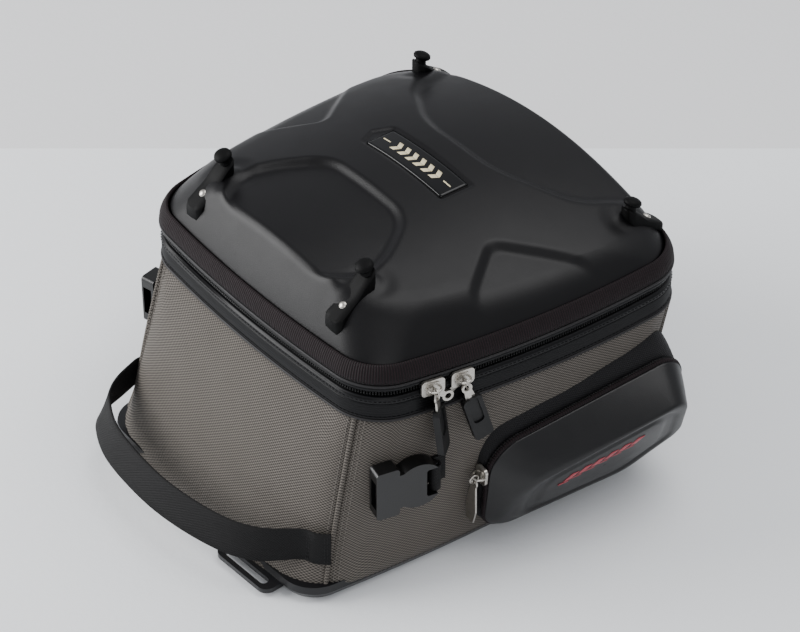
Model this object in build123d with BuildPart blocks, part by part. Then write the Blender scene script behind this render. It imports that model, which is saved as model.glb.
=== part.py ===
from build123d import *
import os

# Motorcycle tank bag: a stiff moulded lid on a zipped fabric body with two moulded
# side pockets, a moulded base tray and a webbing carry handle.
# Frame: Z up, Y towards the handlebars, X to the rider's right, origin under the middle of the bag.

os.makedirs("parts", exist_ok=True)

# ---- driving dimensions, millimetres ----
CLEAR = 0.3             # gap between neighbouring soft layers
TRAY_TOP = 13.7         # top of the moulded base tray
WALL_LOW = 14.0         # foot of the fabric walls
WALL_HIGH = 145.0       # top of the fabric walls
WALL = 5.0              # padded wall thickness
LINING = 1.0            # lining thickness
ZIP_HEIGHT = 168.5      # the main zip's parting line
BINDING_LOW = 177.4
BINDING_HIGH = 190.0
CROWN_HEIGHT = 236.0    # flat middle of the lid
SHELL = 4.0             # moulded lid thickness
CREST_REAR = 230.0      # height of the lid's crease line at the rear
CREST_FRONT = 208.0     # height of the same crease line at the front

# plan outlines: half widths at the rear and front corners, the two corner lines, bows and radius
RIM = dict(rear_half=132, front_half=158, rear_y=-137, front_y=137, bows=(8, 12, 14), corner=42)
FLOOR = dict(rear_half=126, front_half=139, rear_y=-180, front_y=130, bows=(12, 8, 8), corner=42)
TRAY = dict(rear_half=128, front_half=141, rear_y=-190, front_y=133, bows=(4, 8, 8), corner=28)
CREST = dict(rear_half=105, front_half=138, rear_y=-112, front_y=123, bows=(3, 8, 6), corner=56)
CROWN = dict(rear_half=52, front_half=60, rear_y=-75, front_y=55, bows=(2, 3, 3), corner=24)


def save(piece, label):
    """Label a finished piece and write it out."""
    piece.part.label = label
    export_step(piece.part, f"parts/{label}.step")


def save_mirrored(piece, label):
    """Write the other side's copy of a piece."""
    with BuildPart() as twin:
        mirror(piece.part, about=Plane.YZ)
    save(twin, label)


def inset(shape, by):
    """The same outline drawn further in, or further out when by is negative."""
    return dict(
        rear_half=shape["rear_half"] - by,
        front_half=shape["front_half"] - by,
        rear_y=shape["rear_y"] + by,
        front_y=shape["front_y"] - by,
        bows=shape["bows"],
        corner=shape["corner"] - by / 2,
    )


def outline(rear_half, front_half, rear_y, front_y, bows, corner):
    """Plan outline: four bowed sides with rounded corners, the same on both sides of X = 0."""
    rear_bow, side_bow, front_bow = bows
    side_x = (rear_half + front_half) / 2 + side_bow
    side_y = (rear_y + front_y) / 2
    with BuildSketch() as plan:
        with BuildLine():
            ThreePointArc((-rear_half, rear_y), (0, rear_y - rear_bow), (rear_half, rear_y))
            ThreePointArc((rear_half, rear_y), (side_x, side_y), (front_half, front_y))
            ThreePointArc((front_half, front_y), (0, front_y + front_bow), (-front_half, front_y))
            ThreePointArc((-front_half, front_y), (-side_x, side_y), (-rear_half, rear_y))
        make_face()
        fillet(plan.vertices(), corner)
    return plan.sketch


def wall_body(by, low=WALL_LOW, high=WALL_HIGH):
    """The body's leaning outer form, drawn in by a distance, as one solid."""
    with BuildPart() as form:
        with BuildSketch(Plane.XY.offset(low)):
            add(outline(**inset(FLOOR, by)))
        with BuildSketch(Plane.XY.offset(high)):
            add(outline(**inset(RIM, by)))
        loft(ruled=True)
    return form.part


def band(low, high, thickness, proud=0.0):
    """An upright ribbon that follows the rim, from low to high, its face proud of the rim line."""
    with BuildPart() as ribbon:
        with BuildSketch(Plane.XY.offset(low)):
            add(outline(**inset(RIM, -proud)))
            add(outline(**inset(RIM, thickness - proud)), mode=Mode.SUBTRACT)
        extrude(amount=high - low)
    return ribbon.part


def lid_form(by):
    """The lid's outer form: steep flanks up to a crease line that falls forwards, then a low crown."""
    fall = (CREST_REAR - CREST_FRONT) / (CREST["front_y"] - CREST["rear_y"])
    middle_y = (CREST["front_y"] + CREST["rear_y"]) / 2
    middle_z = (CREST_REAR + CREST_FRONT) / 2 + fall * middle_y - by
    crease = Plane(origin=(0, 0, middle_z), x_dir=(1, 0, 0), z_dir=(0, fall, 1))
    with BuildPart() as form:
        with BuildSketch(Plane.XY.offset(BINDING_HIGH + CLEAR)):
            add(outline(**inset(RIM, 5 + by)))
        with BuildSketch(crease):
            add(outline(**inset(CREST, by)))
        with BuildSketch(Plane.XY.offset(CROWN_HEIGHT - by)):
            add(outline(**inset(CROWN, by)))
        loft(ruled=True)
    return form.part


# ---- base ----
with BuildPart() as base_tray:
    with BuildSketch(Plane.XY):
        add(outline(**inset(TRAY, 5)))
    with BuildSketch(Plane.XY.offset(0.6 * TRAY_TOP)):
        add(outline(**TRAY))
    with BuildSketch(Plane.XY.offset(TRAY_TOP)):
        add(outline(**inset(TRAY, 1)))
    loft(ruled=True)
    with BuildSketch(Plane.XY.offset(4)):
        add(outline(**inset(TRAY, 9)))
    extrude(amount=TRAY_TOP, mode=Mode.SUBTRACT)
    with BuildSketch(Plane.XY):
        with Locations((0, -28)):
            RectangleRounded(200, 250, 30)
    extrude(amount=1.5, mode=Mode.SUBTRACT)
save(base_tray, "base_tray")

with BuildPart() as anti_slip_pad:
    with BuildSketch(Plane.XY):
        with Locations((0, -28)):
            RectangleRounded(199, 249, 29.5)
    extrude(amount=1.4)
save(anti_slip_pad, "anti_slip_pad")

with BuildPart() as floor_board:
    with BuildSketch(Plane.XY.offset(4.1)):
        add(outline(**inset(TRAY, 10)))
    extrude(amount=TRAY_TOP - 4.2)
save(floor_board, "floor_board")

TAB_LENGTH = 60
TAB_DEPTH = 24
TAB_SLOT = (46, 7)


def strap_tabs(middle_x, middle_y, slot_shift, turn):
    """A pair of slotted tongues for the tank straps, let into the base tray's edge."""
    with BuildPart() as tabs:
        with BuildSketch(Plane.XY.offset(4)):
            for side in (-1, 1):
                with Locations(Location((side * middle_x, middle_y), side * turn)):
                    RectangleRounded(TAB_LENGTH, TAB_DEPTH, 8)
                with Locations(Location((side * middle_x, middle_y + slot_shift), side * turn)):
                    SlotOverall(*TAB_SLOT, mode=Mode.SUBTRACT)
        extrude(amount=4)
        add(base_tray.part, mode=Mode.SUBTRACT)
        with BuildSketch(Plane.XY.offset(4)):
            add(outline(**inset(TRAY, 8)))
        extrude(amount=4, mode=Mode.SUBTRACT)
    return tabs


save(strap_tabs(middle_x=71, middle_y=-196, slot_shift=-4.5, turn=3), "rear_strap_tabs")
save(strap_tabs(middle_x=71, middle_y=141, slot_shift=4.5, turn=-3), "front_strap_tabs")

# ---- fabric walls, split at the four piped corner seams ----
SEAM = 3.0
SEAMS = [
    ((122, -166, WALL_LOW), (113, -128, WALL_HIGH), (0.65, -0.76, 0)),
    ((128, 120, WALL_LOW), (146, 127, WALL_HIGH), (0.7, 0.71, 0)),
]


def seam_planes():
    """One plane along each corner seam, its X pointing straight out of the bag."""
    planes = []
    for side in (1, -1):
        for foot, head, out in SEAMS:
            foot = Vector(side * foot[0], foot[1], foot[2])
            head = Vector(side * head[0], head[1], head[2])
            out = Vector(side * out[0], out[1], 0)
            planes.append(Plane(origin=foot, x_dir=out, z_dir=out.cross(head - foot)))
    return planes


def seam_slabs(thickness):
    """Thin slabs that stand across the walls at the corner seams."""
    with BuildPart() as slabs:
        for place in seam_planes():
            with BuildSketch(place):
                with Locations((-18, 65)):
                    Rectangle(86, 200)
            extrude(amount=thickness / 2, both=True)
    return slabs.part


with BuildPart() as walls:
    add(wall_body(0))
    add(wall_body(WALL), mode=Mode.SUBTRACT)
    add(seam_slabs(SEAM), mode=Mode.SUBTRACT)
wall_panels = walls.part.solids()

with BuildPart() as rear_panel:
    add(wall_panels.sort_by(Axis.Y)[0])
save(rear_panel, "rear_panel")

with BuildPart() as front_panel:
    add(wall_panels.sort_by(Axis.Y)[-1])
save(front_panel, "front_panel")

with BuildPart() as right_panel:
    add(wall_panels.sort_by(Axis.X)[-1])
save(right_panel, "right_panel")

with BuildPart() as left_panel:
    add(wall_panels.sort_by(Axis.X)[0])
save(left_panel, "left_panel")

with BuildPart() as corner_piping:
    add(wall_body(-1.3))
    add(wall_body(WALL), mode=Mode.SUBTRACT)
    add(seam_slabs(SEAM - 0.1), mode=Mode.INTERSECT)
save(corner_piping, "corner_piping")

with BuildPart() as body_lining:
    add(wall_body(WALL + CLEAR))
    add(wall_body(WALL + CLEAR + LINING, low=WALL_LOW + LINING), mode=Mode.SUBTRACT)
save(body_lining, "body_lining")

# ---- bands and the main zip between body and lid ----
with BuildPart() as body_piping:
    add(band(WALL_HIGH + 0.2, 147.0, 3.2, proud=1.2))
save(body_piping, "body_piping")

with BuildPart() as expansion_band:
    add(band(147.2, 160.0, 2.6, proud=0.4))
save(expansion_band, "expansion_band")

with BuildPart() as lower_zip_tape:
    add(band(160.2, ZIP_HEIGHT - 1.6, 1.6, proud=0.0))
save(lower_zip_tape, "lower_zip_tape")

with BuildPart() as lower_zip_coil:
    add(band(ZIP_HEIGHT - 1.5, ZIP_HEIGHT - 0.2, 1.8, proud=0.1))
save(lower_zip_coil, "lower_zip_coil")

with BuildPart() as upper_zip_coil:
    add(band(ZIP_HEIGHT + 0.2, ZIP_HEIGHT + 1.5, 1.8, proud=0.1))
save(upper_zip_coil, "upper_zip_coil")

with BuildPart() as upper_zip_tape:
    add(band(ZIP_HEIGHT + 1.6, 175.0, 1.6, proud=0.0))
save(upper_zip_tape, "upper_zip_tape")

with BuildPart() as lid_hinge_strip:
    add(band(150.0, ZIP_HEIGHT - 0.2, 1.2, proud=-3.0))
    with Locations((0, 160, 160)):
        Box(250, 60, 60, mode=Mode.INTERSECT)
save(lid_hinge_strip, "lid_hinge_strip")

# ---- lid ----
with BuildPart() as lid_piping:
    add(band(175.2, 177.2, 3.2, proud=1.2))
save(lid_piping, "lid_piping")

with BuildPart() as lid_binding:
    with BuildSketch(Plane.XY.offset(BINDING_LOW)):
        add(outline(**inset(RIM, -0.6)))
    with BuildSketch(Plane.XY.offset(BINDING_HIGH)):
        add(outline(**inset(RIM, 4.6)))
    loft(ruled=True)
    with BuildSketch(Plane.XY.offset(BINDING_LOW)):
        add(outline(**inset(RIM, 3.4)))
    with BuildSketch(Plane.XY.offset(BINDING_HIGH)):
        add(outline(**inset(RIM, 8.6)))
    loft(ruled=True, mode=Mode.SUBTRACT)
save(lid_binding, "lid_binding")

with BuildPart() as lid_shell:
    add(lid_form(0))
    add(lid_form(SHELL), mode=Mode.SUBTRACT)
save(lid_shell, "lid_shell")

with BuildPart() as lid_lining:
    add(lid_form(SHELL + CLEAR))
    add(lid_form(SHELL + CLEAR + LINING), mode=Mode.SUBTRACT)
save(lid_lining, "lid_lining")

PLATE = (87, 25)
PLATE_Y = 11

with BuildPart() as nameplate:
    with BuildSketch(Plane.XY.offset(CROWN_HEIGHT + 0.1)):
        with Locations((0, PLATE_Y)):
            RectangleRounded(*PLATE, 2.5)
    extrude(amount=1.6)
save(nameplate, "nameplate")

# bungee hooks: an oval foot riveted to the flank and a mushroom knob at its upper end
HOOK_WIDTH = 17
HOOK_THICK = 4
KNOB_RADIUS = 6.5
HOOK_PLACES = [
    ((84, -127, 204), (84, -98, 230), (0, -0.45, 0.9)),
    ((122, 134, 198), (122, 109, 212), (0, 0.35, 0.94)),
]


def hook_frames():
    """For each hook: its foot plane, its length, and the plane that its knob stands on."""
    frames = []
    for tail, tip, lean in HOOK_PLACES:
        for side in (1, -1):
            tail_point = Vector(side * tail[0], tail[1], tail[2])
            tip_point = Vector(side * tip[0], tip[1], tip[2])
            along = tip_point - tail_point
            out = Vector(0, -along.Z, along.Y) if along.Y > 0 else Vector(0, along.Z, -along.Y)
            foot = Plane(origin=tail_point, x_dir=along, z_dir=out)
            knob = Plane(origin=tip_point, x_dir=(1, 0, 0), z_dir=lean)
            frames.append((foot, along.length, knob))
    return frames


with BuildPart() as bungee_hooks:
    for foot, length, knob in hook_frames():
        with BuildSketch(foot.offset(-4)):
            with Locations((length / 2 + 1, 0)):
                SlotOverall(length + 10, HOOK_WIDTH)
        extrude(amount=HOOK_THICK + 4)
        with BuildSketch(knob.offset(-6)):
            Circle(0.7 * KNOB_RADIUS)
        extrude(amount=11)
        with BuildSketch(knob.offset(4.5)):
            Circle(KNOB_RADIUS)
        extrude(amount=4.5)
    add(lid_form(-0.2), mode=Mode.SUBTRACT)
save(bungee_hooks, "bungee_hooks")

with BuildPart() as hook_rivets:
    for foot, length, knob in hook_frames():
        with BuildSketch(foot.offset(HOOK_THICK + 0.05)):
            with Locations((9, 0)):
                Circle(3.2)
        extrude(amount=1.6)
    add(lid_form(-0.1), mode=Mode.SUBTRACT)
save(hook_rivets, "hook_rivets")

# ---- zip sliders and pulls ----
ARCH = 5.0              # radius of the slider's bridge
ARCH_WIRE = 0.8
ARCH_LIFT = 3.5         # centre of the bridge's bow above the slider plate's back
RING = 3.6              # radius of the link ring between bridge and pull
RING_WIRE = 0.6
RING_DROP = 1.6
RING_HEIGHT = ARCH_LIFT + ARCH - 1.0
TAG_HOLE = 2.4
TAG_THICK = 1.4


def slider_plate(place, width, length):
    """A zip slider: a shield-shaped plate with a wire bridge; the zip runs along local X."""
    with BuildPart() as plate:
        with BuildSketch(place):
            RectangleRounded(width, length, 3)
        extrude(amount=2.2)
        with BuildSketch(place.offset(2.2)):
            RectangleRounded(0.55 * width, 0.7 * length, 2)
        extrude(amount=0.8)
        with BuildLine(Plane(origin=place.origin, x_dir=place.x_dir, z_dir=-place.y_dir)):
            bow = Polyline((-ARCH, 1.6), (-ARCH, ARCH_LIFT), (-3.6, 7.1), (0, ARCH_LIFT + ARCH),
                           (3.6, 7.1), (ARCH, ARCH_LIFT), (ARCH, 1.6))
        with BuildSketch(Plane(origin=bow @ 0, z_dir=bow % 0)):
            Circle(ARCH_WIRE)
        sweep(path=bow, transition=Transition.ROUND)
    return plate.part


def pull_ring(place):
    """The wire ring that links the bridge to the pull; it hangs towards local -Y."""
    middle = place.origin - place.y_dir * RING_DROP + place.z_dir * RING_HEIGHT
    with BuildPart() as ring:
        with Locations(Plane(origin=middle, x_dir=place.y_dir, z_dir=place.x_dir)):
            Torus(RING, RING_WIRE)
    return ring.part


def tag_plane(place, twist, sway):
    """The plane of a hanging pull tag, its origin at the tag's hole.

    twist turns the tag about its own length, and sway swings its lower end along the zip.
    """
    hole = place.origin - place.y_dir * (RING_DROP + RING) + place.z_dir * RING_HEIGHT
    along = place.x_dir.rotate(Axis((0, 0, 0), place.y_dir), twist)
    out = place.z_dir.rotate(Axis((0, 0, 0), place.y_dir), twist)
    return Plane(origin=hole, x_dir=along.rotate(Axis((0, 0, 0), place.z_dir), sway),
                 z_dir=out.rotate(Axis((0, 0, 0), place.z_dir), sway))


def pull_tag(place, twist, sway, width, length):
    """A flat metal tag with a round eye that widens to a spade end."""
    with BuildPart() as tag:
        with BuildSketch(tag_plane(place, twist, sway).offset(-TAG_THICK / 2)):
            Circle(4.1)
            with BuildLine():
                Polyline((-3, -2), (3, -2), (width / 2, -length + 12), (width / 2 - 2, -length),
                         (2 - width / 2, -length), (-width / 2, -length + 12), close=True)
            make_face()
            Circle(TAG_HOLE, mode=Mode.SUBTRACT)
        extrude(amount=TAG_THICK)
    return tag.part


rim_edges = outline(**RIM).edges()
side_arc = rim_edges.filter_by(lambda edge: edge.radius > 500).sort_by(Axis.X)[-1]
corner_arc = rim_edges.filter_by(lambda edge: edge.radius < 100).sort_by(
    lambda edge: edge.center().X - edge.center().Y)[-1]
SIDE_CENTRE = side_arc.arc_center
CORNER_CENTRE = corner_arc.arc_center
corner_start = corner_arc.vertices().sort_by(Axis.Y)[-1].center()
SLIDER_GAP = 1.8
SLIDER_START = 1.36     # degrees along the side arc from the rear corner to the rear slider
SLIDER_SPACING = 1.66   # degrees between the sliders along the side


def side_place(turn):
    """Slider frame on the right side: X forwards along the zip, Y up, Z straight out.

    turn is in degrees about the side arc's centre, from where the rear corner begins.
    """
    out = (corner_start - SIDE_CENTRE).normalized().rotate(Axis.Z, turn)
    point = SIDE_CENTRE + out * (side_arc.radius + SLIDER_GAP) + Vector(0, 0, ZIP_HEIGHT)
    return Plane(origin=point, x_dir=out.rotate(Axis.Z, 90), z_dir=out)


REAR_PLACE = side_place(SLIDER_START)
FRONT_PLACE = side_place(SLIDER_START + SLIDER_SPACING)


def lock_eye(place, reach, level):
    """The lug and padlock eye that stick out of a lockable slider, below the zip line."""
    with BuildPart() as eye:
        with BuildSketch(place.offset(level)):
            with BuildLine():
                Polyline((0, -6), (reach, -14), (reach, -9), (0, 2), close=True)
            make_face()
            with Locations((reach, -11.5)):
                Circle(4.4)
                Circle(2.4, mode=Mode.SUBTRACT)
        extrude(amount=1.1)
    return eye.part


HALF_SPACING = 0.5 * SLIDER_SPACING * side_arc.radius * 3.14159 / 180

with BuildPart() as rear_slider:
    add(slider_plate(REAR_PLACE, 18, 13))
    add(lock_eye(REAR_PLACE, HALF_SPACING, 1.1))
save(rear_slider, "rear_slider")

with BuildPart() as front_slider:
    add(slider_plate(FRONT_PLACE, 18, 13))
    add(lock_eye(FRONT_PLACE, -HALF_SPACING, -0.6))
save(front_slider, "front_slider")

MAIN_TAG = (12, 40)
SLEEVE = (15, 40, 5)
SLEEVE_TOP = -10


def pull_set(place, twist, sway, name):
    """Link ring, metal tag and the rubber sleeve moulded round the tag of one main zip pull."""
    with BuildPart() as ring:
        add(pull_ring(place))
    save(ring, f"{name}_pull_ring")
    with BuildPart() as tag:
        add(pull_tag(place, twist, sway, *MAIN_TAG))
    save(tag, f"{name}_pull_tag")
    with BuildPart() as sleeve:
        with BuildSketch(tag_plane(place, twist, sway).offset(-SLEEVE[2] / 2)):
            with Locations((0, SLEEVE_TOP - SLEEVE[1] / 2)):
                RectangleRounded(SLEEVE[0], SLEEVE[1], 3)
        extrude(amount=SLEEVE[2])
        with BuildSketch(tag_plane(place, twist, sway).offset(TAG_THICK / 2 + 0.4)):
            with Locations((0, SLEEVE_TOP - 12)):
                RectangleRounded(8.5, 24, 3)
        extrude(amount=SLEEVE[2], mode=Mode.SUBTRACT)
        add(tag.part, mode=Mode.SUBTRACT)
    save(sleeve, f"{name}_pull_sleeve")


pull_set(REAR_PLACE, twist=48, sway=7, name="rear")
pull_set(FRONT_PLACE, twist=0, sway=17, name="front")

# ---- carry handle ----
HANDLE_LOW = 27
HANDLE_WIDTH = 26
WEBBING = 2.4
HANDLE_LINE = [(-117, -184), (-118, -196), (-100, -212), (-60, -225), (0, -231), (55, -222), (88, -206),
               (104, -190)]


def webbing_face(points, thickness):
    """The edge-on face of a ribbon that follows a smooth line."""
    with BuildSketch() as face:
        with BuildLine(mode=Mode.PRIVATE):
            middle = Spline(*points)
        steps = [index / 12 for index in range(13)]
        sides = []
        for side in (0.5, -0.5):
            offsets = [(middle % step).rotate(Axis.Z, 90) * side * thickness for step in steps]
            sides.append([(middle @ step) + shift for step, shift in zip(steps, offsets)])
        with BuildLine():
            outer = Spline(*sides[0])
            inner = Spline(*sides[1])
            Line(outer @ 0, inner @ 0)
            Line(outer @ 1, inner @ 1)
        make_face()
    return face.sketch


with BuildPart() as carry_handle:
    with BuildSketch(Plane.XY.offset(HANDLE_LOW)):
        add(webbing_face(HANDLE_LINE, WEBBING))
    extrude(amount=HANDLE_WIDTH)
save(carry_handle, "carry_handle")

with BuildPart() as handle_end_tabs:
    add(wall_body(-2.8))
    add(wall_body(-0.2), mode=Mode.SUBTRACT)
    with BuildPart(mode=Mode.PRIVATE) as blocks:
        for side in (1, -1):
            with Locations((side * 108, -175, HANDLE_LOW + HANDLE_WIDTH / 2)):
                Box(28, 40, HANDLE_WIDTH)
    add(blocks.part, mode=Mode.INTERSECT)
    add(corner_piping.part, mode=Mode.SUBTRACT)
save(handle_end_tabs, "handle_end_tabs")

# ---- side-release buckle sockets on the side walls ----
BUCKLE = (52, 42, 12)
BAR_X = 22.0
BAR_RADIUS = 2.2
WAIST = 30.0            # the socket narrows behind its mouth
ARM_RADIUS = 19.0       # the rounded end that holds the web bar
BAR_HEIGHT = 6.0
BUCKLE_PLACE = Plane(origin=(140.0, -111, 91), x_dir=(0.225, 0.974, 0), z_dir=(0.974, -0.225, 0))
length, width, thick = BUCKLE

with BuildPart() as buckle_right:
    with BuildSketch(BUCKLE_PLACE):
        with Locations((9 - length / 2, 0)):
            RectangleRounded(18, width, 3)
        Rectangle(24, WAIST)
        with Locations((length / 2 - ARM_RADIUS, 0)):
            Circle(ARM_RADIUS)
    extrude(amount=thick)
    with BuildSketch(BUCKLE_PLACE.offset(2.5)):
        with Locations((-length / 2 + 12, 0)):
            Rectangle(34, 24)
    extrude(amount=8, mode=Mode.SUBTRACT)
    with BuildSketch(BUCKLE_PLACE):
        with Locations((BAR_X - 2, 0)):
            RectangleRounded(14, 24, 2)
    extrude(amount=thick, mode=Mode.SUBTRACT)
    with BuildSketch(Plane(origin=BUCKLE_PLACE.from_local_coords(Vector(BAR_X, -13, BAR_HEIGHT)),
                           x_dir=BUCKLE_PLACE.x_dir, z_dir=BUCKLE_PLACE.y_dir)):
        Circle(BAR_RADIUS)
    extrude(amount=26)
save(buckle_right, "buckle_right")
save_mirrored(buckle_right, "buckle_left")

with BuildPart() as buckle_web_right:
    bar_plane = Plane(origin=BUCKLE_PLACE.from_local_coords(Vector(BAR_X, -11, BAR_HEIGHT)),
                      x_dir=BUCKLE_PLACE.x_dir, z_dir=-BUCKLE_PLACE.y_dir)
    with BuildSketch(bar_plane):
        Circle(4.2)
        with Locations((4, -7.5)):
            Rectangle(14, 3)
        with Locations((0, -5)):
            Rectangle(3, 5)
        Circle(3.0, mode=Mode.SUBTRACT)
    extrude(amount=-22)
    add(wall_body(-0.2), mode=Mode.SUBTRACT)
save(buckle_web_right, "buckle_web_right")
save_mirrored(buckle_web_right, "buckle_web_left")

# ---- side pockets: fabric gusset, zip and a moulded cover hinged along its foot ----
# Pocket frame: local X runs forwards along the side wall, local Y up it, and Z out of the bag.
POCKET_ORIGIN = Vector(150.5, 0, 0)
POCKET_ALONG = Vector(0.079, 0.997, 0)
POCKET_OUT = Vector(0.99, -0.0785, -0.1)
POCKET_CORNERS = [(-48, 17), (-48, 97), (122, 117), (127, 42), (82, 17)]
POCKET_RADII = [18, 28, 22, 18, 40]
FACE_CORNERS = [(-28, 2), (-28, 54), (108, 87), (119, 32), (78, 2)]
FACE_RADII = [14, 20, 16, 14, 30]
FACE_STANDOFF = 9.0     # how far the face's foot stands out from the zip
FACE_LEAN = 0.32


def rounded_polygon(corners, radii, shrink):
    """A polygon whose corners each have their own radius, drawn in by a distance."""
    with BuildSketch() as shape:
        with BuildLine():
            Polyline(*corners, close=True)
        make_face()
        for corner, radius in zip(corners, radii):
            nearest = shape.vertices().sort_by_distance(Vector(*corner))[0]
            fillet(nearest, radius)
        if shrink:
            offset(amount=-shrink, mode=Mode.REPLACE)
    return shape.sketch


def pocket_plane(out):
    """The pocket's plane at a distance out from its zip."""
    plane = Plane(origin=POCKET_ORIGIN, x_dir=POCKET_ALONG, z_dir=POCKET_OUT)
    return plane.offset(out)


def pocket_ring(low, high, shrink, thickness):
    """A ribbon that follows the pocket's outline between two distances out from its zip."""
    with BuildPart() as ribbon:
        with BuildSketch(pocket_plane(low)):
            add(rounded_polygon(POCKET_CORNERS, POCKET_RADII, shrink))
            add(rounded_polygon(POCKET_CORNERS, POCKET_RADII, shrink + thickness), mode=Mode.SUBTRACT)
        extrude(amount=high - low)
    return ribbon.part


def cover_form(shrink):
    """The moulded cover's outer form, from its bound edge out to the tilted face."""
    upright = pocket_plane(FACE_STANDOFF)
    foot = upright.from_local_coords(Vector(0, POCKET_CORNERS[0][1], 0))
    face = Plane(origin=foot, x_dir=POCKET_ALONG, z_dir=upright.z_dir - upright.y_dir * FACE_LEAN)
    with BuildPart() as form:
        with BuildSketch(pocket_plane(5)):
            add(rounded_polygon(POCKET_CORNERS, POCKET_RADII, shrink))
        with BuildSketch(face.offset(-shrink)):
            add(rounded_polygon(FACE_CORNERS, FACE_RADII, shrink))
        loft(ruled=True)
    return form.part


with BuildPart() as pocket_gusset_right:
    add(pocket_ring(-50, -0.8, 0, 2.5))
    add(wall_body(-CLEAR, low=0), mode=Mode.SUBTRACT)
    with BuildSketch(Plane.XY):
        add(outline(**inset(TRAY, -CLEAR)))
    extrude(amount=WALL_LOW, mode=Mode.SUBTRACT)
    add(corner_piping.part, mode=Mode.SUBTRACT)
save(pocket_gusset_right, "pocket_gusset_right")
save_mirrored(pocket_gusset_right, "pocket_gusset_left")

with BuildPart() as pocket_zip_right:
    add(pocket_ring(-0.7, 0.9, 0.6, 1.8))
save(pocket_zip_right, "pocket_zip_right")
save_mirrored(pocket_zip_right, "pocket_zip_left")

with BuildPart() as pocket_binding_right:
    add(pocket_ring(1.3, 4.8, 0, 2.5))
save(pocket_binding_right, "pocket_binding_right")
save_mirrored(pocket_binding_right, "pocket_binding_left")

with BuildPart() as pocket_cover_right:
    add(cover_form(0))
    add(cover_form(3), mode=Mode.SUBTRACT)
save(pocket_cover_right, "pocket_cover_right")
save_mirrored(pocket_cover_right, "pocket_cover_left")

# the pocket zip's slider starts where the rear edge turns into the rear top corner's arc
rear_line, corner_top = POCKET_CORNERS[1]
POCKET_ARC = POCKET_RADII[1]
top_rise = (POCKET_CORNERS[2][1] - corner_top) / (POCKET_CORNERS[2][0] - rear_line)
arc_height = corner_top + POCKET_ARC * top_rise - POCKET_ARC * (1 + top_rise ** 2) ** 0.5
pocket_frame = pocket_plane(0)
POCKET_ARC_CENTRE = pocket_frame.from_local_coords(Vector(rear_line + POCKET_ARC, arc_height, 0))
POCKET_PLACE = Plane(origin=pocket_frame.from_local_coords(Vector(rear_line - 0.8, arc_height, 0)),
                     x_dir=pocket_frame.z_dir, z_dir=-pocket_frame.x_dir)

with BuildPart() as pocket_slider_right:
    add(slider_plate(POCKET_PLACE, 12, 15))
save(pocket_slider_right, "pocket_slider_right")
save_mirrored(pocket_slider_right, "pocket_slider_left")

with BuildPart() as pocket_pull_ring_right:
    add(pull_ring(POCKET_PLACE))
save(pocket_pull_ring_right, "pocket_pull_ring_right")
save_mirrored(pocket_pull_ring_right, "pocket_pull_ring_left")

with BuildPart() as pocket_pull_tag_right:
    add(pull_tag(POCKET_PLACE, 0, 0, 12, 38))
save(pocket_pull_tag_right, "pocket_pull_tag_right")
save_mirrored(pocket_pull_tag_right, "pocket_pull_tag_left")

print("side arc centre", SIDE_CENTRE, "radius", side_arc.radius)
print("corner arc centre", CORNER_CENTRE, "start", corner_start)
for place_name, place in (("rear", REAR_PLACE), ("front", FRONT_PLACE), ("pocket", POCKET_PLACE)):
    pivot = place.origin + place.z_dir * (ARCH_LIFT + ARCH)
    print(place_name, "pull pivot", pivot, "axis", place.x_dir)
print("buckle bar", BUCKLE_PLACE.from_local_coords(Vector(BAR_X, 0, BAR_HEIGHT)))
print("pocket arc centre", POCKET_ARC_CENTRE, "axis", pocket_frame.z_dir)
print("pocket cover hinge", pocket_frame.from_local_coords(Vector(40, 16.9, 1.1)), "axis", pocket_frame.x_dir)
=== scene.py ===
import math

import bmesh
import bpy
import numpy as np
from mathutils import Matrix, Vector, noise


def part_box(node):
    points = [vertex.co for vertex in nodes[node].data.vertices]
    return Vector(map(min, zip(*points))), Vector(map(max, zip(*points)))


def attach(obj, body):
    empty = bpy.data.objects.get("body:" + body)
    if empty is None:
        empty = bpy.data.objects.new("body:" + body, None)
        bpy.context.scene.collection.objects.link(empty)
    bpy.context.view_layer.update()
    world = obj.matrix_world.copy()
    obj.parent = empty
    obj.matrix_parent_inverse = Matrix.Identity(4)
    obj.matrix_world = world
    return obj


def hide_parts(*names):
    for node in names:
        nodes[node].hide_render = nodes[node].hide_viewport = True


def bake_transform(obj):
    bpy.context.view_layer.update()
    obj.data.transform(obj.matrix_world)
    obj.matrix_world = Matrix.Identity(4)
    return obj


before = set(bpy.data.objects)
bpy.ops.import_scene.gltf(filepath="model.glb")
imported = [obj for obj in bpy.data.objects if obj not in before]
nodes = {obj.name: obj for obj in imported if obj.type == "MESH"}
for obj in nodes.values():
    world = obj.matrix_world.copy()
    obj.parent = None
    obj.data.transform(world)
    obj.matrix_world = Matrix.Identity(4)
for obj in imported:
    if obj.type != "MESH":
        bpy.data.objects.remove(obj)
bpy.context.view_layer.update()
MM = 0.001

# The bag's plan outlines in millimetres, as its design has them: half widths at the rear and front
# corners, the two corner lines, how far the rear, side and front edges bow out, and the corner radius.
RIM = dict(rear_half=132, front_half=158, rear_y=-137, front_y=137, bows=(8, 12, 14), corner=42)
FLOOR = dict(rear_half=126, front_half=139, rear_y=-180, front_y=130, bows=(12, 8, 8), corner=42)
CREST = dict(rear_half=105, front_half=138, rear_y=-112, front_y=123, bows=(3, 8, 6), corner=56)
WALL_LOW, WALL_HIGH = 14.0, 145.0
BINDING_HIGH = 190.0
CROWN = 236.0
SIDE_STEPS, CORNER_STEPS = 60, 24       # points along each side and corner of an outline


# ---------------- outlines and grids
def unit(vectors):
    """The same vectors, each one unit long."""
    return vectors / np.linalg.norm(vectors, axis=-1, keepdims=True)


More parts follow.
